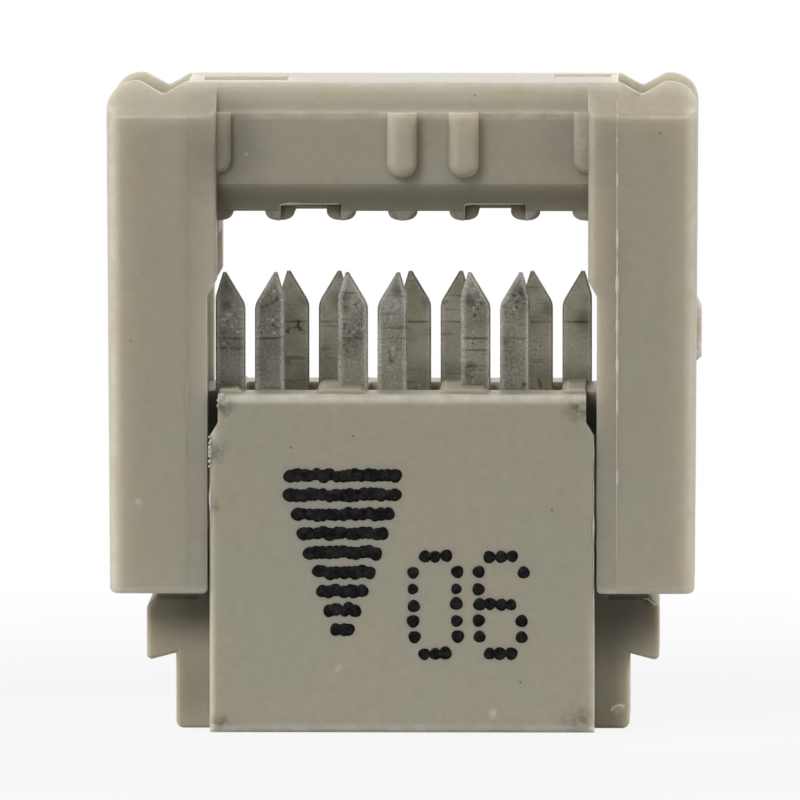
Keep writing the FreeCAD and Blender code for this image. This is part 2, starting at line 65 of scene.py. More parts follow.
class Shading:
    """Nodes of one material or of the world, and the patterns that are made with them."""

    def __init__(self, tree):
        self.nodes, self.links = tree.nodes, tree.links
        self.nodes.clear()

    def feed(self, socket, value):
        """Links a socket to another one, or sets it to a number or a colour."""
        if hasattr(value, "is_linked"):
            self.links.new(value, socket)
        else:
            socket.default_value = value

    def millimetres(self, shift=(0, 0, 0), stretch=(1, 1, 1)):
        """Object coordinates in millimetres, stretched and then moved for one pattern."""
        place = self.nodes.new("ShaderNodeTexCoord")
        scale = self.nodes.new("ShaderNodeMapping")
        scale.inputs["Scale"].default_value = [s / MM for s in stretch]
        scale.inputs["Location"].default_value = shift
        self.links.new(place.outputs["Object"], scale.inputs["Vector"])
        return scale.outputs["Vector"]

    def axes(self, where):
        """Coordinates of a place by the names of their axes."""
        split = self.nodes.new("ShaderNodeSeparateXYZ")
        self.links.new(where, split.inputs["Vector"])
        return split.outputs

    def noise(self, where, scale, detail=3.0, roughness=0.55):
        """Cloudy value between 0 and 1 at so many lumps per millimetre."""
        texture = self.nodes.new("ShaderNodeTexNoise")
        texture.inputs["Scale"].default_value = scale
        texture.inputs["Detail"].default_value = detail
        texture.inputs["Roughness"].default_value = roughness
        self.links.new(where, texture.inputs["Vector"])
        return texture.outputs["Fac"]

    def ramp(self, value, *stops):
        """Colour or grey that a value becomes, through (position, grey or colour) stops."""
        node = self.nodes.new("ShaderNodeValToRGB")
        elements = node.color_ramp.elements
        while len(elements) < len(stops):
            elements.new(0.5)
        for element, (position, tone) in zip(elements, stops):
            element.position = position
            element.color = (*(tone if isinstance(tone, tuple) else (tone, tone, tone)), 1.0)
        self.links.new(value, node.inputs["Fac"])
        return node.outputs["Color"]

    def math(self, operation, *values):
        """One Math node on sockets or numbers."""
        node = self.nodes.new("ShaderNodeMath")
        node.operation = operation
        for socket, value in zip(node.inputs, values):
            self.feed(socket, value)
        return node.outputs["Value"]

    def product(self, *values):
        """Product of sockets or numbers, taken two at a time."""
        result = values[0]
        for value in values[1:]:
            result = self.math("MULTIPLY", result, value)
        return result

    def mix(self, blend, factor, first, second):
        """Colour mix; factor, first and second are sockets, colours or numbers."""
        node = self.nodes.new("ShaderNodeMix")
        node.data_type = "RGBA"
        node.blend_type = blend
        for place, value in ((0, factor), (6, first), (7, second)):
            self.feed(node.inputs[place], (*value, 1.0) if isinstance(value, tuple) else value)
        return node.outputs[2]

    def bump(self, skin, height, strength, depth):
        """Small relief of so many metres under a surface."""
        bump = self.nodes.new("ShaderNodeBump")
        bump.inputs["Strength"].default_value = strength
        bump.inputs["Distance"].default_value = depth
        self.links.new(height, bump.inputs["Height"])
        self.links.new(bump.outputs["Normal"], skin.inputs["Normal"])

    def near(self, where, spot, reach):
        """1 at a spot in millimetres, falling to 0 at its reach."""
        gap = self.nodes.new("ShaderNodeVectorMath")
        gap.operation = "DISTANCE"
        gap.inputs[1].default_value = spot
        self.links.new(where, gap.inputs[0])
        fall = self.nodes.new("ShaderNodeMapRange")
        fall.interpolation_type = "SMOOTHSTEP"
        fall.inputs["From Min"].default_value = 0.0
        fall.inputs["From Max"].default_value = reach
        fall.inputs["To Min"].default_value = 1.0
        fall.inputs["To Max"].default_value = 0.0
        self.links.new(gap.outputs["Value"], fall.inputs["Value"])
        return fall.outputs["Result"]

    def folded(self, where, keep):
        """Place with every coordinate made positive and only the kept axes left, for edges on all sides."""
        positive = self.nodes.new("ShaderNodeVectorMath")
        positive.operation = "ABSOLUTE"
        self.links.new(where, positive.inputs[0])
        kept = self.nodes.new("ShaderNodeVectorMath")
        kept.operation = "MULTIPLY"
        kept.inputs[1].default_value = keep
        self.links.new(positive.outputs["Vector"], kept.inputs[0])
        return kept.outputs["Vector"]

    def seen_directly(self):
        """1 for camera, glossy and transmission rays."""
        ray = self.nodes.new("ShaderNodeLightPath").outputs
        shiny = self.math("MAXIMUM", ray["Is Glossy Ray"], ray["Is Transmission Ray"])
        return self.math("MAXIMUM", ray["Is Camera Ray"], shiny)


def new_material(name):
    """Empty node material with a principled surface."""
    material = bpy.data.materials.new(name)
    material.use_nodes = True
    shading = Shading(material.node_tree)
    skin = shading.nodes.new("ShaderNodeBsdfPrincipled")
    out = shading.nodes.new("ShaderNodeOutputMaterial")
    shading.links.new(skin.outputs["BSDF"], out.inputs["Surface"])
    return material, shading, skin


def linear(red, green, blue):
    """Scene-linear colour of an 8-bit display colour."""
    parts = [channel / 255 for channel in (red, green, blue)]
    return tuple(p / 12.92 if p <= 0.04045 else ((p + 0.055) / 1.055) ** 2.4 for p in parts)


# Colours of the finishes
PEBBLE_GREY = linear(170, 164, 148)
HOUSING_GREY = linear(167, 162, 146)
GRIME = linear(62, 57, 47)
# Warm dark brown painted as shade in corners, recesses, under overhangs and on downward-facing slopes, and
# the colour of the dark specks
PAINTED_SHADE_AND_SPECK = linear(58, 48, 22)
# Pale of rubbed scuffs and flecks, also painted as highlights along each edge and as light at a few spots
SCUFF_AND_PAINTED_LIGHT = linear(214, 211, 202)
BRIGHT_TIN = linear(222, 220, 212)
DARK_TIN = linear(38, 36, 31)
# Brown of the back tines' feet
FOOT_BROWN = linear(92, 82, 58)
WARM, COOL = (1.015, 0.99, 0.965), (0.985, 1.005, 1.015)
SPECKLE = ((0.35, -0.34), (0.46, -0.07), (0.56, 0.05), (0.68, 0.45))


def moulded_plastic(name, shift, tone=PEBBLE_GREY, scatter=(0.6, 0.5, 0.33), clear=0.8,
                    smudges=(), scuffs_and_light=(), shade_and_specks=(), edge_light_and_shade=()):
    """Pebble grey moulding: broad warm and cool clouds, glass-fibre mottle, rare dark specks and pale flecks,
    grime around the smudge spots, pale rubbed patches at the scuff spots, where the cover also gets painted
    light and a painted glint, painted highlights made patchy like wear and painted shade along each edge as
    far as a half length from the middle, an even dark film of painted shade and of dark specks at their
    spots, soft sheen and a fine spark-eroded grain. The clear share of the light scatters inside, over so
    many millimetres for each colour."""
    material, shading, skin = new_material(name)
    where = shading.millimetres()
    moved = shading.millimetres(shift)
    cloud = shading.noise(moved, 0.55, 2.0, 0.5)
    mottle = shading.noise(moved, 5.0, 4.0, 0.6)
    specks = shading.noise(moved, 2.6, 5.0, 0.72)
    flecks = shading.noise(moved, 3.7, 6.0, 0.78)
    grain = shading.noise(moved, 26.0, 3.0, 0.6)
    warm, cool = (tuple(c * k for c, k in zip(tone, cast)) for cast in (WARM, COOL))
    colour = shading.ramp(cloud, (0.35, warm), (0.65, cool))
    colour = shading.mix("MULTIPLY", 1.0, colour, shading.ramp(mottle, (0.3, 0.955), (0.7, 1.04)))
    colour = shading.mix("MIX", shading.ramp(specks, (0.255, 1.0), (0.285, 0.0)), colour, GRIME)
    colour = shading.mix("MIX", shading.ramp(flecks, (0.735, 0.0), (0.775, 0.55)), colour, SCUFF_AND_PAINTED_LIGHT)
    blotch = shading.ramp(shading.noise(moved, 7.0, 5.0, 0.7), (0.36, 0.0), (0.58, 1.0))
    # Grime at the smudge spots; pale patches at the scuff spots: rubbed scuffs, and on the cover also painted
    # light and a painted glint
    for spots, film in ((smudges, GRIME), (scuffs_and_light, SCUFF_AND_PAINTED_LIGHT)):
        for spot, reach, share in spots:
            patch = shading.product(shading.near(where, spot, reach), blotch, share)
            colour = shading.mix("MIX", patch, colour, film)
    # Patchy pattern that breaks up the painted edge highlights like wear
    worn_highlight = shading.ramp(shading.noise(moved, 2.3, 4.0, 0.6), (0.3, 0.25), (0.65, 1.0))
    from_middle = shading.math("ABSOLUTE", shading.axes(where)["X"])
    # Painted highlights and painted shade along each edge, limited to a half length from the middle
    for keep, spot, reach, share, film, half in edge_light_and_shade:
        rim = shading.near(shading.folded(where, keep), spot, reach)
        rim = shading.product(rim, shading.math("LESS_THAN", from_middle, half), share)
        if film is SCUFF_AND_PAINTED_LIGHT:
            rim = shading.product(rim, worn_highlight)
        colour = shading.mix("MIX", rim, colour, film)
    # Painted shade, and the dark specks, as an even brown film at each spot
    for spot, reach, share in shade_and_specks:
        colour = shading.mix("MIX", shading.product(shading.near(where, spot, reach), share), colour, PAINTED_SHADE_AND_SPECK)
    shading.links.new(colour, skin.inputs["Base Color"])
    shading.links.new(shading.ramp(mottle, (0.3, 0.36), (0.7, 0.47)), skin.inputs["Roughness"])
    shading.bump(skin, grain, 0.15, 0.02 * MM)
    skin.inputs["Specular IOR Level"].default_value = 0.32
    skin.inputs["Subsurface Weight"].default_value = clear
    skin.inputs["Subsurface Radius"].default_value = scatter
    skin.inputs["Subsurface Scale"].default_value = MM
    return material


def tine_inset(shading, place, row_start, tip):
    """Distance in millimetres from a tine's nearer side. Forks repeat every second wire, both sides of a fork
    alike, and a tine's sides run straight and then lean in to the tip."""
    from_start = shading.math("SUBTRACT", place["X"], row_start)
    from_middle = shading.math("PINGPONG", from_start, WIRE_PITCH)
    below_tip = shading.math("SUBTRACT", tip, place["Z"])
    outer = shading.math("MULTIPLY_ADD", below_tip, OUTER_LEAN, OUTER_AT_TIP)
    outer = shading.math("MINIMUM", outer, TINE_OUTER)
    inner = shading.math("MULTIPLY_ADD", below_tip, -INNER_LEAN, INNER_AT_TIP)
    inner = shading.math("MAXIMUM", inner, TINE_INNER)
    return shading.math("MINIMUM", shading.math("SUBTRACT", outer, from_middle),
                        shading.math("SUBTRACT", from_middle, inner))


def plated_metal(name, row_start, tip, coin_line, dull, clean, shift, coarse, dented=(), shaded=()):
    """Dull tin plating on one row of forks: warm grey clouds from dull to clean, fine pitted speckle, dark
    drawn scratches across, dark scrapes, one dark coined line, chipped plating around the dented spots,
    tarnish, shine or a browner foot at the shaded spots, and rims painted bright as a highlight by their
    distance from the tine's sides."""
    material, shading, skin = new_material(name)
    where = shading.millimetres()
    moved = shading.millimetres(shift)
    across = shading.millimetres(shift, (0.8, 1.0, 11.0))
    slanted = shading.millimetres(shift, (5.0, 1.0, 1.2))
    cloud = shading.noise(moved, 1.3, 3.0, 0.5)
    pits = shading.noise(moved, 19.0, 6.0, 0.75)
    lines = shading.noise(across, 0.8, 6.0, 0.65)
    scrapes = shading.noise(slanted, 0.75, 5.0, 0.7)
    dents = shading.noise(moved, 3.4, 4.0, 0.65)
    speckle = shading.ramp(pits, *((at, 1 + coarse * gain) for at, gain in SPECKLE))
    colour = shading.mix("MULTIPLY", 1.0, shading.ramp(cloud, (0.3, dull), (0.7, clean)), speckle)
    for value, low, high, dark in ((lines, 0.36, 0.41, 0.62), (scrapes, 0.33, 0.37, 0.45),
                                   (dents, 0.31, 0.35, 0.32)):
        colour = shading.mix("MULTIPLY", 1.0, colour, shading.ramp(value, (low, dark), (high, 1.0)))
    place = shading.axes(where)
    height = shading.math("SUBTRACT", place["Z"], coin_line)
    wander = shading.math("MULTIPLY_ADD", dents, 0.05, -0.025)
    offset = shading.math("ABSOLUTE", shading.math("ADD", height, wander))
    coined = shading.ramp(shading.product(offset, 10.0), (0.12, 0.42), (0.34, 1.0))
    patchy = shading.ramp(shading.noise(moved, 2.2), (0.4, 1.0), (0.6, 0.35))
    colour = shading.mix("MULTIPLY", patchy, colour, coined)
    chips = shading.noise(moved, 10.0, 5.0, 0.74)
    for spot, reach in dented:
        patch = shading.near(where, spot, reach)
        pit = shading.product(patch, shading.ramp(chips, (0.42, 0.8), (0.46, 0.0)))
        lip = shading.product(patch, shading.ramp(chips, (0.58, 0.0), (0.66, 0.55)))
        colour = shading.mix("MIX", pit, colour, DARK_TIN)
        colour = shading.mix("MIX", lip, colour, BRIGHT_TIN)
    for spot, reach, share, film in shaded:
        colour = shading.mix("MIX", shading.product(shading.near(where, spot, reach), share), colour, film)
    # Painted highlight along each tine's sides
    inset = shading.product(tine_inset(shading, place, row_start, tip), 8.0)
    rim = shading.product(shading.ramp(inset, (0.1, 0.85), (0.4, 0.3), (0.95, 0.0)),
                          shading.ramp(pits, (0.36, 0.35), (0.58, 1.0)),
                          shading.ramp(cloud, (0.3, 0.5), (0.6, 1.0)))
    colour = shading.mix("MIX", rim, colour, BRIGHT_TIN)
    glints = shading.ramp(shading.noise(moved, 9.0, 5.0, 0.72), (0.66, 0.0), (0.71, 0.7))
    colour = shading.mix("MIX", glints, colour, BRIGHT_TIN)
    shading.links.new(colour, skin.inputs["Base Color"])
    shading.links.new(shading.math("MULTIPLY_ADD", rim, -0.8, 0.9), skin.inputs["Metallic"])
    shading.links.new(shading.ramp(pits, (0.3, 0.55), (0.7, 0.4)), skin.inputs["Roughness"])
    shading.bump(skin, pits, 0.25 * coarse, 0.02 * MM)
    return material


def printing_ink(name):
    """Black jet ink: near-black film that thins a little in patches, half matt."""
    material, shading, skin = new_material(name)
    film = shading.noise(shading.millimetres(), 9.0, 5.0, 0.7)
    black = shading.ramp(film, (0.4, linear(4, 4, 5)), (0.66, linear(42, 41, 40)))
    shading.links.new(black, skin.inputs["Base Color"])
    skin.inputs["Specular IOR Level"].default_value = 0.05
    shading.links.new(shading.ramp(film, (0.3, 0.42), (0.7, 0.6)), skin.inputs["Roughness"])
    shading.bump(skin, film, 0.2, 0.01 * MM)
    return material


def coat(node_name, material):
    """Gives a CAD node its finish."""
    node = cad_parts[node_name]
    if not node.material_slots:
        node.data.materials.append(material)
    for slot in node.material_slots:
        slot.material = material


def marks(depth, *spots):
    """Spots (across, up, reach, share) at one depth, as places with their reach and share."""
    return [((x, depth, z), reach, share) for x, z, reach, share in spots]


# Marks on the housing, with painted shade in the notches and on the ears, in millimetres
plate_smudges = marks(PLATE, (-3.72, 6.78, 0.42, 0.7), (3.70, 6.74, 0.50, 0.75), (-3.78, 0.16, 0.34, 0.7),
                      (3.66, 0.18, 0.55, 0.6))
plate_smudges += marks(PLATE_RIM, (-3.95, 5.9, 0.5, 0.7), (-3.97, 4.7, 0.3, 0.7))
housing_scuffs = marks(PLATE_EDGE, (-3.90, 6.10, 0.32, 0.6))
housing_scuffs += marks(EAR, (4.42, 0.42, 0.16, 0.95), (4.53, 0.46, 0.12, 0.95))
housing_scuffs += marks(PLATE, (1.9, 0.40, 0.16, 0.6), (-1.3, 1.35, 0.14, 0.6))
# Painted shade in the notches at the plate's top corners, deep in the gap beside the posts
notch_painted_shade = [((side * 4.0, row * 2.05, 6.6), 0.8, 1.0) for side in (-1, 1) for row in (-1, 1)]
# Painted shadow on the ears under the legs, darker on the right beside the plate, and on the left stem
ear_painted_shadow = marks(EAR, (4.5, 2.35, 1.5, 0.75), (-4.2, 2.6, 1.3, 0.52), (-4.3, 0.9, 1.4, 0.26))
plate_specks = marks(PLATE, *((x, z, 0.04, 0.75) for x, z in (
    (-2.29, 5.9), (-1.01, 6.14), (3.1, 4.62), (2.45, 1.05))))

# Marks on the cover, with painted shade at the ends of the bar's recess and painted light at a few spots, in
# millimetres
# Painted shade at both ends of the bar's recess, where the legs shade it, darker on the left
recess_painted_shade = marks(BAR_RECESS, *((side * 3.62, height, 1.25, share)
                                     for side, share in ((-1, 0.3), (1, 0.11)) for height in (11.7, 12.4)))
leg_specks = marks(LEG, (5.33, 12.4, 0.045, 0.7), (-5.6, 8.1, 0.035, 0.6))
cover_scuffs_and_light = marks(LEG, (-5.45, 4.75, 0.14, 0.6))
# Painted glint on the bar's recess
cover_scuffs_and_light += marks(BAR_RECESS, (-3.22, 11.95, 0.06, 0.9))
# Painted light on the right gusset
cover_scuffs_and_light += marks(GUSSET, (3.66, 12.2, 0.45, 0.35))
# Painted light on the end pads' front faces
cover_scuffs_and_light += marks(END_PAD, (6.16, 7.75, 0.45, 0.6), (6.16, 8.5, 0.45, 0.6))

# Edge films, painted highlights made patchy like wear and painted shade: the axes that count, a point of the
# edge, reach, share, film, and half length across the cable
ALONG_X, ALONG_Z = (0, 1, 1), (1, 1, 0)
housing_edge_highlights = [
    # Painted highlights: the top front edge, the bottom edge lit from below, and each upright edge of the
    # plate
    (ALONG_X, (0, 2.97, 6.97), 0.24, 0.8, SCUFF_AND_PAINTED_LIGHT, 4.0),
    (ALONG_X, (0, 3.02, 0.03), 0.2, 0.8, SCUFF_AND_PAINTED_LIGHT, 4.0),
    (ALONG_Z, (3.95, 3.03, 0), 0.1, 0.3, SCUFF_AND_PAINTED_LIGHT, 4.0),
]
cover_edge_light_and_shade = [
    # Painted highlights on the legs' crease, the bar's lip and top edge, the legs' feet and each outer and
    # inner upright edge of the legs
    (ALONG_X, (0, 3.0, 12.74), 0.08, 0.35, SCUFF_AND_PAINTED_LIGHT, 6.2),
    (ALONG_X, (0, 2.62, 12.76), 0.14, 0.8, SCUFF_AND_PAINTED_LIGHT, 3.9),
    (ALONG_X, (0, 2.24, 13.38), 0.3, 0.3, SCUFF_AND_PAINTED_LIGHT, 4.5),
    (ALONG_X, (0, 2.94, 2.9), 0.16, 0.6, SCUFF_AND_PAINTED_LIGHT, 6.2),
    (ALONG_Z, (5.98, 2.93, 0), 0.22, 0.45, SCUFF_AND_PAINTED_LIGHT, 6.2),
    (ALONG_Z, (3.88, 2.94, 0), 0.12, 0.3, SCUFF_AND_PAINTED_LIGHT, 6.2),
    # Painted shade on the bar's downward-facing slope and in a band on its upper bevel
    (ALONG_X, (0, 2.38, 11.02), 0.55, 0.3, PAINTED_SHADE_AND_SPECK, 3.9),
    (ALONG_X, (0, 2.55, 12.95), 0.22, 0.11, PAINTED_SHADE_AND_SPECK, 3.9),
]

# Finishes of the mouldings
housing_skin = moulded_plastic("housing_plastic_skin", (0, 0, 0), HOUSING_GREY, smudges=plate_smudges,
                               scuffs_and_light=housing_scuffs, shade_and_specks=notch_painted_shade + ear_painted_shadow + plate_specks,
                               edge_light_and_shade=housing_edge_highlights)
cover_skin = moulded_plastic("cover_plastic_skin", (11.3, 4.1, 2.7), scatter=(1.7, 1.58, 1.36), clear=0.9,
                             scuffs_and_light=cover_scuffs_and_light, shade_and_specks=leg_specks + recess_painted_shade, edge_light_and_shade=cover_edge_light_and_shade)
# The rib skin is the cover's plastic painted darker, as shade for the wire rib noses and notch beads under
# the bar
parting_skin, flash_skin, curl_skin, rib_skin_painted_shade = (
    moulded_plastic(name, shift, tone, clear=0.15) for name, shift, tone in (
        ("parting_plastic_skin", (2.2, 7.1, 3.9), linear(206, 201, 187)),
        ("flash_plastic_skin", (5.7, 1.9, 8.3), linear(194, 189, 175)),
        ("curl_plastic_skin", (1.4, 6.2, 0.8), linear(238, 234, 222)),
        ("rib_plastic_skin_painted_shade", (6.6, 0.3, 4.5), linear(160, 153, 134))))
coat("base_housing", housing_skin)
coat("cover", cover_skin)

# Chips, tarnish and shine on the forks, in millimetres
dented_spots = [((x, FRONT_TINE, z), reach) for x, z, reach in (
    (-0.22, 7.8, 0.3), (-1.15, 7.9, 0.3), (-3.7, 7.9, 0.22), (2.3, 8.95, 0.3), (1.55, 9.0, 0.3),
    (-3.65, 8.45, 0.42), (-2.72, 8.32, 0.34), (-2.66, 8.95, 0.26), (-1.12, 8.25, 0.45), (-0.28, 8.62, 0.36),
    (1.36, 7.35, 0.3), (1.5, 8.7, 0.3), (2.25, 8.75, 0.36), (3.7, 8.2, 0.3))]
front_shades = [((x, FRONT_TINE, z), 0.62, share, film) for x, z, share, film in (
    (-2.72, 8.75, 0.3, DARK_TIN), (-2.72, 8.1, 0.3, DARK_TIN), (-2.72, 7.4, 0.34, DARK_TIN),
    (2.31, 8.05, 0.2, DARK_TIN), (-1.01, 8.1, 0.25, DARK_TIN), (-3.5, 8.6, 0.1, BRIGHT_TIN),
    (-3.5, 7.5, 0.08, BRIGHT_TIN), (-0.22, 8.7, 0.14, BRIGHT_TIN))]
front_shades += [((x, FRONT_TINE, z), reach, 0.6, DARK_TIN) for x, z, reach in (
    (-3.66, 8.75, 0.2), (-1.22, 8.92, 0.22), (-1.2, 8.7, 0.16), (-0.1, 9.05, 0.2), (1.36, 8.86, 0.22),
    (1.42, 7.5, 0.15), (2.44, 9.0, 0.2), (2.1, 8.0, 0.1), (-0.25, 7.6, 0.11), (-2.92, 8.71, 0.08),
    (-2.82, 8.75, 0.08), (-2.72, 8.81, 0.08), (-2.62, 8.87, 0.08))]
back_shades = [((x, BACK_TINE, z), reach, share, DARK_TIN) for x, z, reach, share in (
    (-1.42, 8.75, 0.3, 0.4), (0.5, 8.7, 0.26, 0.4), (3.02, 8.55, 0.26, 0.5), (3.7, 8.3, 0.3, 0.45),
    (-2.1, 8.7, 0.25, 0.25))]
# Browner towards the foot of each back tine
back_shades += [((x, BACK_TINE, 7.05), 0.55, 0.2, FOOT_BROWN) for x in (-2.16, -1.51, 0.35, 1.02, 2.89, 3.68)]
front_metal = plated_metal(
    "front_contact_skin", row_start=-WIRE_PITCH / 2, tip=9.43, coin_line=8.07, dull=linear(98, 95, 84),
    clean=linear(129, 126, 115), shift=(3.1, 0, 0.4), coarse=1.3, dented=dented_spots, shaded=front_shades)
# The back row's tin is painted lighter than the front row's, as light to offset the shade behind the front
# row and under the cover
back_metal_painted_lighter = plated_metal(
    "back_contact_skin_painted_lighter", row_start=WIRE_PITCH / 2, tip=9.33, coin_line=8.27, dull=linear(142, 138, 121),
    clean=linear(176, 172, 155), shift=(7.9, 2.0, 5.2), coarse=0.45, shaded=back_shades)
for number in range(1, 7):
    coat("contact_%d" % number, front_metal if number % 2 else back_metal_painted_lighter)


# Small pieces that ride on the mouldings
def put_mesh(name, points, faces, material, body):
    """Smooth-shaded closed mesh from whole arrays of points, quads and triangles, riding on a body."""
    quads, triangles = faces
    mesh = bpy.data.meshes.new(name)
    mesh.from_pydata(points.reshape(-1, 3).tolist(), [], quads.tolist() + triangles.tolist())
    mesh.polygons.foreach_set("use_smooth", np.ones(len(mesh.polygons), dtype=bool))
    mesh.materials.append(material)
    piece = bpy.data.objects.new(name, mesh)
    scene.collection.objects.link(piece)
    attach(piece, body)


def circle(turns):
    """Angles of so many equal steps round a circle."""
    return np.arange(turns) * 2 * np.pi / turns


def tube_faces(rings, turns, count=1):
    """Faces of closed tubes whose points are rings one after another and then the two end points: quads from
    each ring to the next, and a fan of triangles at either end, for so many tubes in a row."""
    k = np.arange(turns)
    after = (k + 1) % turns
    ring = np.arange(rings - 1)[:, None] * turns
    walls = np.stack([ring + k, ring + after, ring + turns + after, ring + turns + k], -1).reshape(-1, 4)
    end, far = rings * turns, (rings - 1) * turns
    fans = np.concatenate([np.stack([np.full(turns, end), after, k], -1),
                           np.stack([np.full(turns, end + 1), far + k, far + after], -1)])
    start = np.arange(count)[:, None, None] * (end + 2)
    return (walls + start).reshape(-1, 4), (fans + start).reshape(-1, 3)


def ink_drops(centres, radii, seed, thick=0.004 * MM, rim=0.0005 * MM, sunk=0.002 * MM):
    """Flat lens for every ink drop on the front face: the outline is a circle whose radius swings by a few
    percent with three lobes at a random phase, and the top is a paraboloid over it, from its thickness in the
    middle to its rim, closed by a point that is sunk behind."""
    turns, rings = 16, 3
    chance = np.random.default_rng(seed)
    count = len(centres)
    angle = circle(turns)
    share = np.linspace(1 / rings, 1, rings)
    lobes = 1 + 0.05 * np.sin(3 * angle[None, :] + chance.uniform(0, 6.3, count)[:, None])
    reach = radii[:, None, None] * share[None, :, None] * lobes[:, None, :]
    across = centres[:, 0, None, None] + reach * np.cos(angle)
    up = centres[:, 1, None, None] + reach * np.sin(angle)
    depth = np.broadcast_to(-thick * (1 - share ** 2)[None, :, None] - rim, across.shape)
    skin = np.stack([across, depth, up], -1).reshape(count, -1, 3)
    tops = np.stack([centres[:, 0], np.full(count, -thick), centres[:, 1]], -1)[:, None, :]
    backs = tops * (1, 0, 1) + (0, sunk, 0)
    points = np.concatenate([skin, tops, backs], 1) + (0, PLATE_FACE, 0)
    return points, tube_faces(rings, turns, count)


def dot_rows(rows, left, top, across, down):
    """Places of the drops of a dot pattern, one text row per line of drops."""
    spots = [(left + column * across, top - line * down)
             for line, row in enumerate(rows) for column, mark in enumerate(row) if mark == "o"]
    return np.array(spots)


# Plain wire-one arrow in overlapping strokes, and a plain count of the six ways
arrow_middle, arrow_top = -1.22 * MM, 5.33 * MM
arrow_lines, arrow_half, arrow_gap, drop_gap = 9, 8.5, 0.40 * MM, 0.135 * MM
lines = np.arange(arrow_lines)
half_counts = np.round(arrow_half * (1 - lines / arrow_lines)).astype(int)
arrow = np.concatenate([
    np.stack([arrow_middle + drop_gap * np.arange(-half, half + 1),
              np.full(2 * half + 1, arrow_top - arrow_gap * line)], -1)
    for line, half in zip(lines, half_counts)])
digits = dot_rows([
    " ooo   ooo ",
    "o   o o   o",
    "o   o o    ",
    "o   o oooo ",
    "o   o o   o",
    "o   o o   o",
    " ooo   ooo ",
], left=0.24 * MM, top=3.66 * MM, across=0.225 * MM, down=0.335 * MM)
chance = np.random.default_rng(5)
for name, spots, radius, wobble in (("wire_one_arrow", arrow, 0.135 * MM, 0.016 * MM),
                                    ("way_count", digits, 0.128 * MM, 0.012 * MM)):
    spots = spots + chance.normal(0, wobble, spots.shape)
    sizes = radius * chance.normal(1, 0.05, len(spots))
    put_mesh(name, *ink_drops(spots, sizes, seed=7), printing_ink(name + "_ink"), "base")


def flash_bead(path, size, least, seed, lumps=9.0, turns=10, ring_gap=0.03 * MM):
    """Ragged bead of mould flash: a circle carried along a polyline, its radius a sum of random sines along
    the length, never under its least share of the size, and tapered to a point at both ends."""
    path = np.asarray(path) * MM
    steps = np.linalg.norm(np.diff(path, axis=0), axis=1)
    along = np.concatenate([[0], np.cumsum(steps)])
    count = max(24, int(along[-1] / ring_gap))
    s = np.linspace(0, along[-1], count)
    line = np.stack([np.interp(s, along, path[:, axis]) for axis in range(3)], -1)
    chance = np.random.default_rng(seed)
    waves = chance.uniform(0.3, 1, 6) * lumps / MM
    swing = np.sin(s[:, None] * waves + chance.uniform(0, 6.3, 6)).mean(1)
    taper = np.clip(np.sin(np.pi * np.linspace(0, 1, count)), 0, 1) ** 0.25
    radius = size * MM * np.clip(0.55 + 1.1 * swing, least, 1.3) * taper
    tangent = np.gradient(line, axis=0)
    tangent /= np.linalg.norm(tangent, axis=1, keepdims=True)
    helper = np.where(np.abs(tangent[:, 1:2]) < 0.9, [[0.0, 1.0, 0.0]], [[1.0, 0.0, 0.0]])
    side = np.cross(tangent, helper)
    side /= np.linalg.norm(side, axis=1, keepdims=True)
    rise = np.cross(side, tangent)
    angle = circle(turns)
    ring = np.cos(angle)[None, :, None] * side[:, None] + np.sin(angle)[None, :, None] * rise[:, None]
    skin = (line[1:-1, None] + radius[1:-1, None, None] * ring[1:-1]).reshape(-1, 3)
    return np.concatenate([skin, line[:1], line[-1:]]), tube_faces(count - 2, turns)


right_parting = [(4.45, -2.34, 13.28), (4.45, -2.97, 12.76), (4.45, -2.978, 12.7), (4.45, -2.978, 3.0)]
right_vee = [(4.47, -2.2, 13.41), (4.72, -2.36, 13.28), (4.93, -2.5, 13.17)]
left_parting = [(-4.44, -2.985, 12.72), (-4.44, -2.985, 3.0)]
ear_curl = [(4.3, EAR, 0.36), (4.35, EAR, 0.44), (4.46, EAR, 0.48), (4.6, EAR, 0.47)]
# Near-white bead on the right ear's top chamfer: a painted highlight where the chamfer catches the light
ear_corner_highlight = [(4.97, -1.79, 2.7), (5.08, -1.79, 2.68), (5.2, -1.79, 2.58), (5.27, -1.78, 2.48)]
left_notch = [(-2.53, -2.13, 10.58), (-2.53, -2.26, 10.88), (-2.4, -2.275, 10.9), (-1.28, -2.275, 10.9)]
right_notch = [(1.28, -2.13, 10.58), (1.28, -2.26, 10.88), (1.4, -2.275, 10.9), (2.53, -2.275, 10.9)]
beads = {
    "plate_flash_left": ([(-3.95, -3.0, 6.12), (-3.95, -3.0, 4.2)], 0.035, 0.12, flash_skin, "base"),
    "plate_flash_corner": ([(-3.78, -3.0, 6.92), (-3.78, -3.0, 6.45)], 0.035, 0.12, flash_skin, "base"),
    "plate_flash_right": ([(3.955, -3.02, 6.1), (3.955, -3.02, 0.2)], 0.018, 0.12, flash_skin, "base"),
    "parting_flash_right": (right_parting, 0.034, 0.7, parting_skin, "cover"),
    "vee_flash_right": (right_vee, 0.03, 0.2, flash_skin, "cover"),
    "parting_flash_left": (left_parting, 0.018, 0.12, parting_skin, "cover"),
    "ear_flash_curl": (ear_curl, 0.04, 0.6, curl_skin, "base"),
    "ear_corner_highlight_bead": (ear_corner_highlight, 0.03, 0.6, curl_skin, "base"),
    "notch_flash_left": (left_notch, 0.032, 0.5, rib_skin_painted_shade, "cover"),
    "notch_flash_right": (right_notch, 0.032, 0.5, rib_skin_painted_shade, "cover"),
}
for seed, (name, (path, size, least, skin, body)) in enumerate(beads.items(), start=11):
    put_mesh(name, *flash_bead(path, size, least, seed), skin, body)


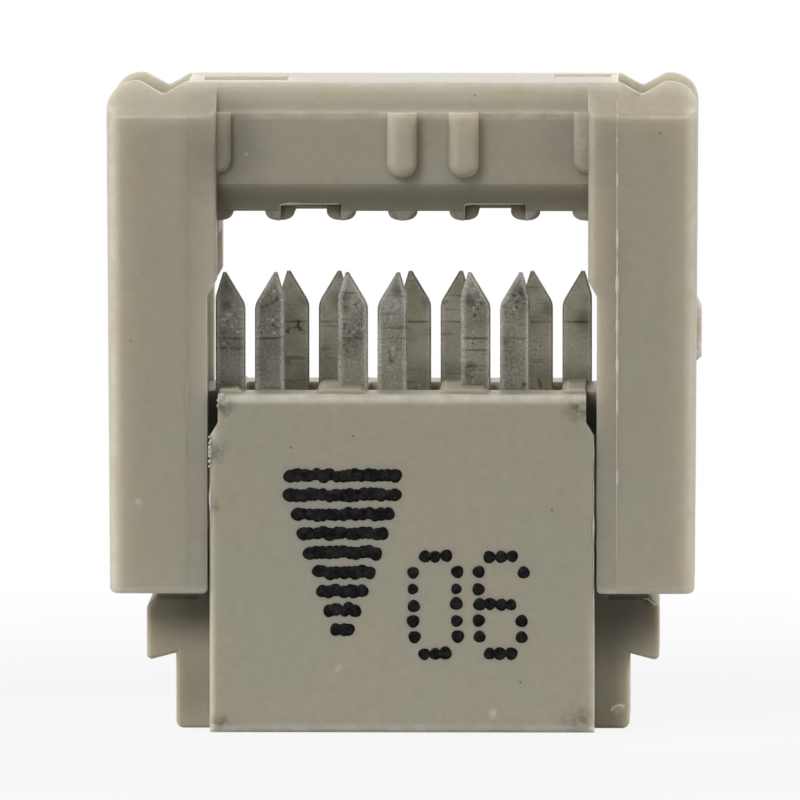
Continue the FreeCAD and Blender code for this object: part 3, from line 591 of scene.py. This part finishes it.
def burr_crumbs(middle, spread, low, high, count, seed):
    """Rough patch of burr: a crowd of small ellipsoids with normal-scattered middles and random half-axes,
    cut flat by the box from low to high so that none stands out of the moulding's faces or fouls its
    neighbour."""
    chance = np.random.default_rng(seed)
    turns, rings = 10, 5
    middles = np.asarray(middle) + chance.normal(0, 1, (count, 3)) * spread
    half_axes = chance.uniform(0.018, 0.05, (count, 3))
    turn = circle(turns)
    tilt = np.linspace(-np.pi / 2, np.pi / 2, rings + 2)[1:-1, None]
    belt = np.stack([np.cos(tilt) * np.cos(turn), np.cos(tilt) * np.sin(turn),
                     np.broadcast_to(np.sin(tilt), (rings, turns))], -1).reshape(-1, 3)
    unit = np.concatenate([belt, [(0, 0, -1), (0, 0, 1)]])
    points = np.clip(middles[:, None] + half_axes[:, None] * unit, low, high) * MM
    return points, tube_faces(rings, turns, count)


corner_crumbs = burr_crumbs(middle=(-3.70, -2.99, 6.83), spread=(0.05, 0.02, 0.08),
                            low=(-3.825, PLATE, 6.45), high=(-3.4, -2.8, 7.04), count=30, seed=3)
edge_crumbs = burr_crumbs(middle=(-3.965, -3.01, 5.85), spread=(0.01, 0.015, 0.16),
                          low=(-4.005, PLATE, 5.4), high=(-3.9, -2.9, 6.2), count=26, seed=4)
put_mesh("corner_burr", *corner_crumbs, flash_skin, "base")
put_mesh("edge_burr", *edge_crumbs, flash_skin, "base")


def rib_noses(noses, half_wide=0.305, drop=0.202, root=10.75, square=0.85):
    """Round coats on the wire ribs: a squarish ellipse, whose cosine and sine are raised to a power under
    one, carried along the depth of each stretch, drawn in at both ends by a twelfth-power curve, and cut flat
    at its left and right limits."""
    turns, rings = 24, 13
    middle, start, end, left, right = np.array(noses).T[:, :, None, None]
    share = np.linspace(-1, 1, rings + 2)
    draw_in = np.sqrt(1 - share ** 12)[None, :, None]
    angle = circle(turns)
    swing, sink = (np.sign(wave) * np.abs(wave) ** square for wave in (np.cos(angle), np.sin(angle)))
    across = np.clip(middle + half_wide * draw_in * swing, left, right)
    depth = (start + end) / 2 + (end - start) / 2 * share[None, :, None] + 0 * across
    height = root - drop * draw_in * sink + 0 * across
    skin = np.stack([across, depth, height], -1) * MM
    belts = skin[:, 1:-1].reshape(len(noses), -1, 3)
    points = np.concatenate([belts, skin[:, :1, 0], skin[:, -1:, 0]], 1)
    return points, tube_faces(rings, turns, len(noses))


# Stretches of the ribs clear of the tine pockets, and the limits that the cover's notches and posts set
FRONT_STRETCH, NOTCH_STRETCH = (-2.14, -1.63), (-1.97, -1.63)
MIDDLE_STRETCH, BACK_STRETCH = (-0.91, 0.91), (1.63, 2.14)
NO_LIMIT, IN_POST = 9, 3.95
NOTCH_SLACK, NOTCH_BITE = 0.004, 0.01
before_notch, past_notch = WIRE_PITCH - NOTCH_SLACK, 2 * WIRE_PITCH + NOTCH_SLACK
notch_start, notch_end = WIRE_PITCH - NOTCH_BITE, 2 * WIRE_PITCH + NOTCH_BITE
front_limits = {
    -2: (-NO_LIMIT, -past_notch),
    -1: (-before_notch, NO_LIMIT),
    0: (-NO_LIMIT, NO_LIMIT),
    1: (-NO_LIMIT, before_notch),
    2: (past_notch, NO_LIMIT),
    -3: (-IN_POST, NO_LIMIT),
    3: (-NO_LIMIT, IN_POST),
}
notch_limits = {
    -2: (-notch_end, NO_LIMIT),
    -1: (-NO_LIMIT, -notch_start),
    1: (notch_start, NO_LIMIT),
    2: (-NO_LIMIT, notch_end),
}
noses = [(rib * WIRE_PITCH, *stretch, *limits)
         for stretch, ribs in ((FRONT_STRETCH, front_limits), (NOTCH_STRETCH, notch_limits))
         for rib, limits in ribs.items()]
noses += [(rib * WIRE_PITCH, *stretch, -IN_POST, IN_POST)
          for rib in front_limits for stretch in (MIDDLE_STRETCH, BACK_STRETCH)]
put_mesh("wire_rib_noses", *rib_noses(noses), rib_skin_painted_shade, "cover")


def direction(azimuth, elevation):
    """Unit vector from the part to a place round it; azimuth 0 is in front, and angles are in degrees."""
    turn, rise = math.radians(azimuth), math.radians(elevation)
    return Vector((math.sin(turn) * math.cos(rise), -math.cos(turn) * math.cos(rise), math.sin(rise)))


def aimed(name, data, target, way, distance):
    """Camera or lamp at a distance from its target, turned towards it."""
    thing = bpy.data.objects.new(name, data)
    thing.location = target + way * distance
    thing.rotation_euler = (-way).to_track_quat("-Z", "Y").to_euler()
    scene.collection.objects.link(thing)
    return thing


# Camera at the photograph's angle
CAMERA_AZIMUTH, CAMERA_ELEVATION = 1.0, 3.5
DISTANCE = 400 * MM
FIELD = 16.515 * MM
SENSOR = 36.0
lens = bpy.data.cameras.new("photo_view")
lens.sensor_fit = "HORIZONTAL"
lens.sensor_width = SENSOR
lens.lens = SENSOR * DISTANCE / FIELD
lens.clip_start = 0.01
lens.clip_end = 10.0
aim = Vector((-0.04 * MM, LEG_FACE, 6.887 * MM))
scene.camera = aimed("photo_view", lens, aim, direction(CAMERA_AZIMUTH, CAMERA_ELEVATION), DISTANCE)


# Studio: a key lamp in front to the left, a lamp behind for the top edges, a lamp at either side for the rims
PART_MIDDLE = Vector((0, 0, 7 * MM))


def soft_lamp(name, azimuth, elevation, distance, width, level, glossy=True):
    """Square lamp in a direction from the part; level is the light that it throws on a surface facing it, and
    a lamp that isn't glossy leaves no highlight."""
    light = bpy.data.lights.new(name, "AREA")
    light.shape = "SQUARE"
    light.size = width
    light.energy = level * math.pi ** 2 * distance ** 2
    lamp = aimed(name, light, PART_MIDDLE, direction(azimuth, elevation), distance)
    lamp.visible_glossy = glossy


soft_lamp("key_lamp", -30, 34, distance=0.25, width=0.10, level=0.66)
soft_lamp("back_lamp", 172, 46, distance=0.20, width=0.16, level=0.47)
soft_lamp("left_rim_lamp", -92, 10, distance=0.20, width=0.10, level=0.64, glossy=False)
soft_lamp("right_rim_lamp", 92, 10, distance=0.20, width=0.10, level=0.80, glossy=False)


def white_room(tint=(1.0, 0.97, 0.90), level=0.24):
    """Surroundings that light the part softly, and that are plain white where they are seen or mirrored."""
    world = bpy.data.worlds.new("white_room")
    world.use_nodes = True
    scene.world = world
    shading = Shading(world.node_tree)
    choice = shading.nodes.new("ShaderNodeMixShader")
    shading.links.new(shading.seen_directly(), choice.inputs["Fac"])
    for place, colour, strength in ((1, tint, level), (2, (1.0, 1.0, 1.0), 1.0)):
        backdrop = shading.nodes.new("ShaderNodeBackground")
        backdrop.inputs["Color"].default_value = (*colour, 1.0)
        backdrop.inputs["Strength"].default_value = strength
        shading.links.new(backdrop.outputs["Background"], choice.inputs[place])
    out = shading.nodes.new("ShaderNodeOutputWorld")
    shading.links.new(choice.outputs["Shader"], out.inputs["Surface"])


def pale_floor(half_span=0.6, drop=0.02 * MM, paper_reach=20.0, shadow_reach=45.0, shadow_share=0.13):
    """Pale sheet under the part: it shows white at a distance and keeps the part's soft shadow close by."""
    mesh = bpy.data.meshes.new("floor")
    corners = np.array([(-1, -1, 0), (1, -1, 0), (1, 1, 0), (-1, 1, 0)]) * half_span
    mesh.from_pydata(corners.tolist(), [], [(0, 1, 2, 3)])
    floor = bpy.data.objects.new("floor", mesh)
    floor.location.z = -drop
    scene.collection.objects.link(floor)
    material, shading, skin = new_material("floor_paper")
    skin.inputs["Roughness"].default_value = 0.9
    where = shading.millimetres()
    paper = shading.ramp(shading.near(where, (0, LEG, 0), paper_reach), (0.2, 0.1), (0.8, 0.48))
    shading.links.new(paper, skin.inputs["Base Color"])
    close_by = shading.near(where, (0, 0, 0), shadow_reach)
    share = shading.math("MULTIPLY_ADD", close_by, -shadow_share, 1.0)
    glow = shading.nodes.new("ShaderNodeEmission")
    either = shading.nodes.new("ShaderNodeMixShader")
    out = next(node for node in shading.nodes if node.type == "OUTPUT_MATERIAL")
    shading.links.new(shading.product(share, shading.seen_directly()), either.inputs["Fac"])
    shading.links.new(skin.outputs["BSDF"], either.inputs[1])
    shading.links.new(glow.outputs["Emission"], either.inputs[2])
    shading.links.new(either.outputs["Shader"], out.inputs["Surface"])
    mesh.materials.append(material)


white_room()
pale_floor()
